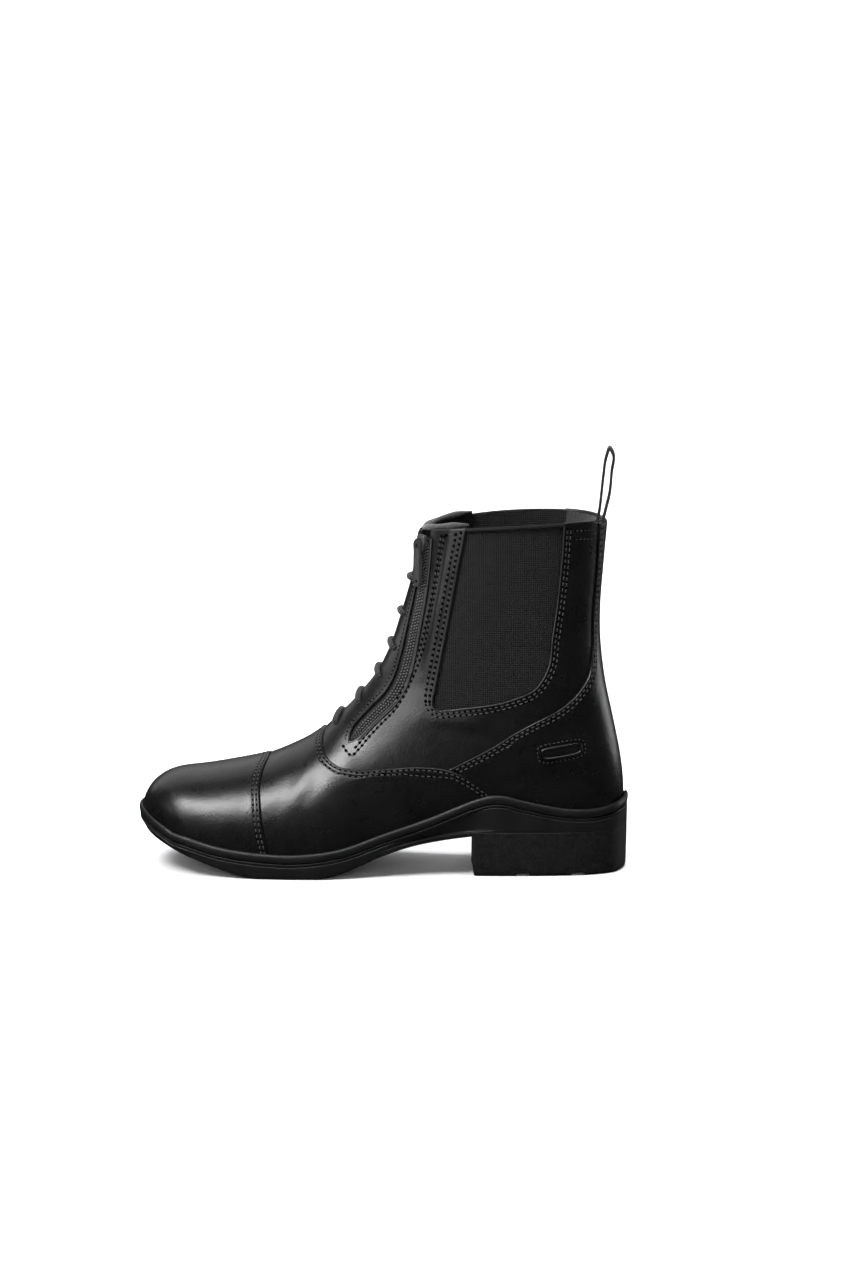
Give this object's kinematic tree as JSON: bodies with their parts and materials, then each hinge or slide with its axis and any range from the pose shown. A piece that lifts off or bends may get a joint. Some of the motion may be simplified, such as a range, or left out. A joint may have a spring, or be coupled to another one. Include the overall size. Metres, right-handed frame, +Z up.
{
  "type": "jodhpur boot",
  "caption": "Black leather riding ankle boot with toe cap, laced front, side zip, elastic gussets, pull loop and a moulded rubber sole with a block heel.",
  "frame": {"origin": "middle of the boot's plan, on the floor that it stands on", "axes": "+X towards the heel, so the toe points to -X; -Y towards the outer side with the zip; +Z up"},
  "size_m": [0.2782, 0.0964, 0.2408],
  "materials": {
    "leather": "smooth semi-gloss black",
    "sole_rubber": "satin black",
    "heel_rubber": "matte black, fine grain",
    "insole_felt": "black felt",
    "elastic_web": "fine ribbed elastic",
    "loop_tape": "woven tape",
    "lace_cord": "round braided elastic",
    "zip_coil": "black nylon coil",
    "black_metal": "black lacquered zinc"
  },
  "bodies": {
    "boot": {"outsole": "sole_rubber", "welt": "sole_rubber", "heel": "heel_rubber", "insole": "insole_felt", "upper": "leather", "toe_cap": "leather", "vamp": "leather", "counter": "leather", "badge": "leather", "tongue": "leather", "gusset_lateral": "elastic_web", "gusset_medial": "elastic_web", "pull_loop": "loop_tape", "zip_chain": "zip_coil", "zip_slider": "black_metal", "lace_bar_1": "lace_cord", "lace_bar_2": "lace_cord", "lace_bar_3": "lace_cord", "lace_bar_4": "lace_cord", "lace_bar_5": "lace_cord", "lace_bar_6": "lace_cord"},
    "pull_tab": {"zip_pull": "black_metal"}
  },
  "joints": [
    {"name": "zip_pull_hinge", "type": "hinge", "parent": "boot", "child": "pull_tab", "pos_m": [0.02077, -0.01544, 0.18658], "axis": [-0.5781, 0.8159, 0.0078], "range_deg": [0, 160]}
  ]
}
